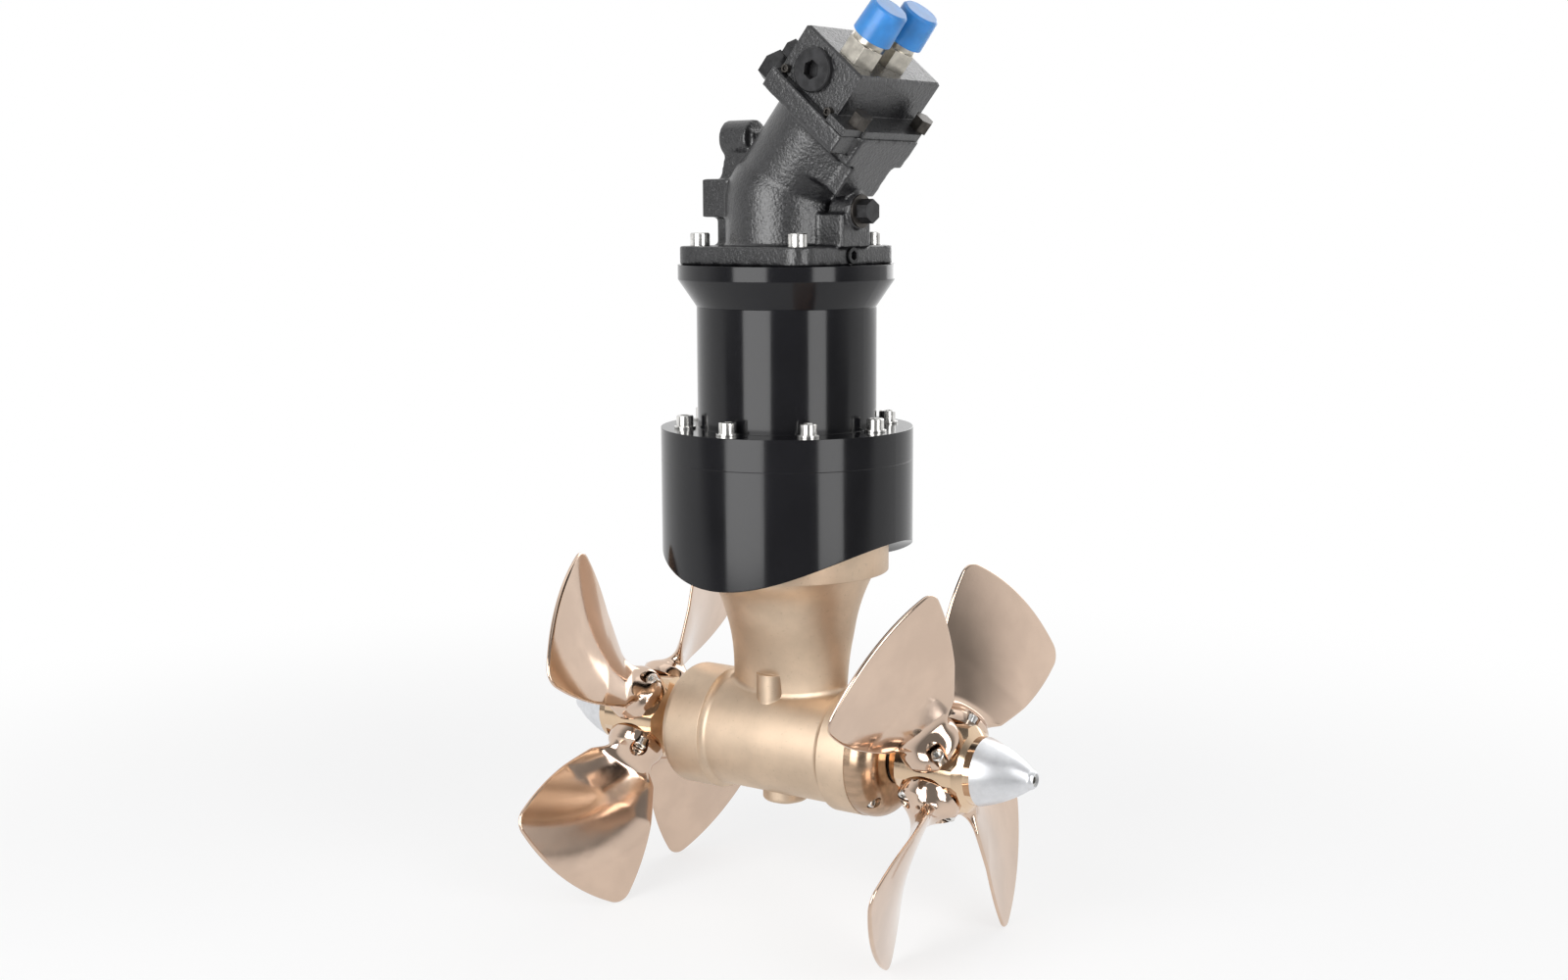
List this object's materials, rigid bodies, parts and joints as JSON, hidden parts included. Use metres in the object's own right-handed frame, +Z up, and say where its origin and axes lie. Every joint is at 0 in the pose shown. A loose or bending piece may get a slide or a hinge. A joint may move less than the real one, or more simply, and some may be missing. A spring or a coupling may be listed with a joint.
{
  "type": "bow thruster",
  "caption": "Hydraulic bow thruster: bent-axis motor, bell housing and saddle flange on a bronze gear leg with a counter-rotating four-bladed propeller at each end.",
  "frame": {"origin": "crossing of the propeller axis and the drive shaft axis, which is also the centre line of the tunnel", "axes": "+X along the propeller axis towards the right-hand propeller, +Z up along the drive shaft towards the motor"},
  "size_m": [0.521, 0.3452, 0.8529],
  "materials": {
    "bronze_casting": "satin",
    "bronze_machined": "polished",
    "bronze_hub": "polished",
    "bronze_blade": "polished",
    "zinc_anode": "brushed",
    "black_flange": "gloss",
    "black_casting": "satin",
    "black_plug": "satin",
    "dark_bolt": "satin",
    "stainless": "polished",
    "zinc_plate": "satin",
    "blue_cap": "gloss",
    "steel": "ground",
    "bronze_plug": "satin",
    "black_rubber": "matt",
    "elastomer": "matt"
  },
  "bodies": {
    "thruster": {"adapter_screws": "stainless", "bearing_carrier": "bronze_machined", "bell_flange_screws": "stainless", "bell_flange_washers": "stainless", "bell_housing": "black_flange", "carrier_screws": "stainless", "drive_shaft_bearings": "steel", "drive_shaft_seal": "black_rubber", "gear_leg": "bronze_casting", "gear_oil_plug": "bronze_plug", "leg_clamp_screws": "stainless", "leg_seal_ring": "black_rubber", "motor_adapter": "black_flange", "motor_bearings": "steel", "motor_drain_plug": "black_plug", "motor_drain_washer": "dark_bolt", "motor_flange_plug": "black_plug", "motor_housing": "black_casting", "motor_mount_screws": "stainless", "motor_port_block": "black_casting", "motor_shaft_seal": "black_rubber", "motor_side_plug": "black_plug", "motor_top_plugs": "black_plug", "port_block_bolts": "dark_bolt", "port_cover_screws": "dark_bolt", "port_fitting_a": "zinc_plate", "port_fitting_b": "zinc_plate", "prop_shaft_bearings": "steel", "prop_shaft_seals": "black_rubber", "saddle_flange": "black_flange"},
    "drive_train": {"drive_shaft": "steel", "bevel_pinion": "steel", "coupling_leg_half": "steel", "coupling_spider": "elastomer", "coupling_motor_half": "steel", "motor_shaft": "steel"},
    "motor_barrel": {"cylinder_barrel": "steel", "pistons": "steel"},
    "right_propeller": {"right_hub": "bronze_hub", "right_blade_1": "bronze_blade", "right_blade_2": "bronze_blade", "right_blade_3": "bronze_blade", "right_blade_4": "bronze_blade", "right_blade_screws": "stainless", "right_nose_cone": "zinc_anode", "right_nose_screw": "stainless", "right_prop_shaft": "steel", "right_bevel_gear": "steel"},
    "left_propeller": {"left_hub": "bronze_hub", "left_blade_1": "bronze_blade", "left_blade_2": "bronze_blade", "left_blade_3": "bronze_blade", "left_blade_4": "bronze_blade", "left_blade_screws": "stainless", "left_nose_cone": "zinc_anode", "left_nose_screw": "stainless", "left_prop_shaft": "steel", "left_bevel_gear": "steel"},
    "cap_a": {"port_cap_a": "blue_cap"},
    "cap_b": {"port_cap_b": "blue_cap"}
  },
  "joints": [
    {"name": "right_prop_spin", "type": "hinge", "parent": "thruster", "child": "right_propeller", "pos_m": [0.17, 0, 0], "axis": [1, 0, 0], "continuous": true},
    {"name": "left_prop_spin", "type": "hinge", "parent": "thruster", "child": "left_propeller", "pos_m": [-0.165, 0, 0], "axis": [1, 0, 0], "continuous": true},
    {"name": "drive_spin", "type": "hinge", "parent": "thruster", "child": "drive_train", "pos_m": [0, 0, 0.3], "axis": [0, 0, 1], "continuous": true},
    {"name": "barrel_spin", "type": "hinge", "parent": "thruster", "child": "motor_barrel", "pos_m": [0, 0, 0.5159], "axis": [0.6412, -0.0448, 0.766], "continuous": true},
    {"name": "cap_a_pull", "type": "slide", "parent": "thruster", "child": "cap_a", "axis": [0.6412, -0.0448, 0.766], "range_m": [0, 0.06]},
    {"name": "cap_b_pull", "type": "slide", "parent": "thruster", "child": "cap_b", "axis": [0.6412, -0.0448, 0.766], "range_m": [0, 0.06]}
  ],
  "couplings": [
    {"joint": "left_prop_spin", "follows": "right_prop_spin", "ratio": -1},
    {"joint": "drive_spin", "follows": "right_prop_spin", "ratio": -1.5},
    {"joint": "barrel_spin", "follows": "right_prop_spin", "ratio": -1.5}
  ]
}
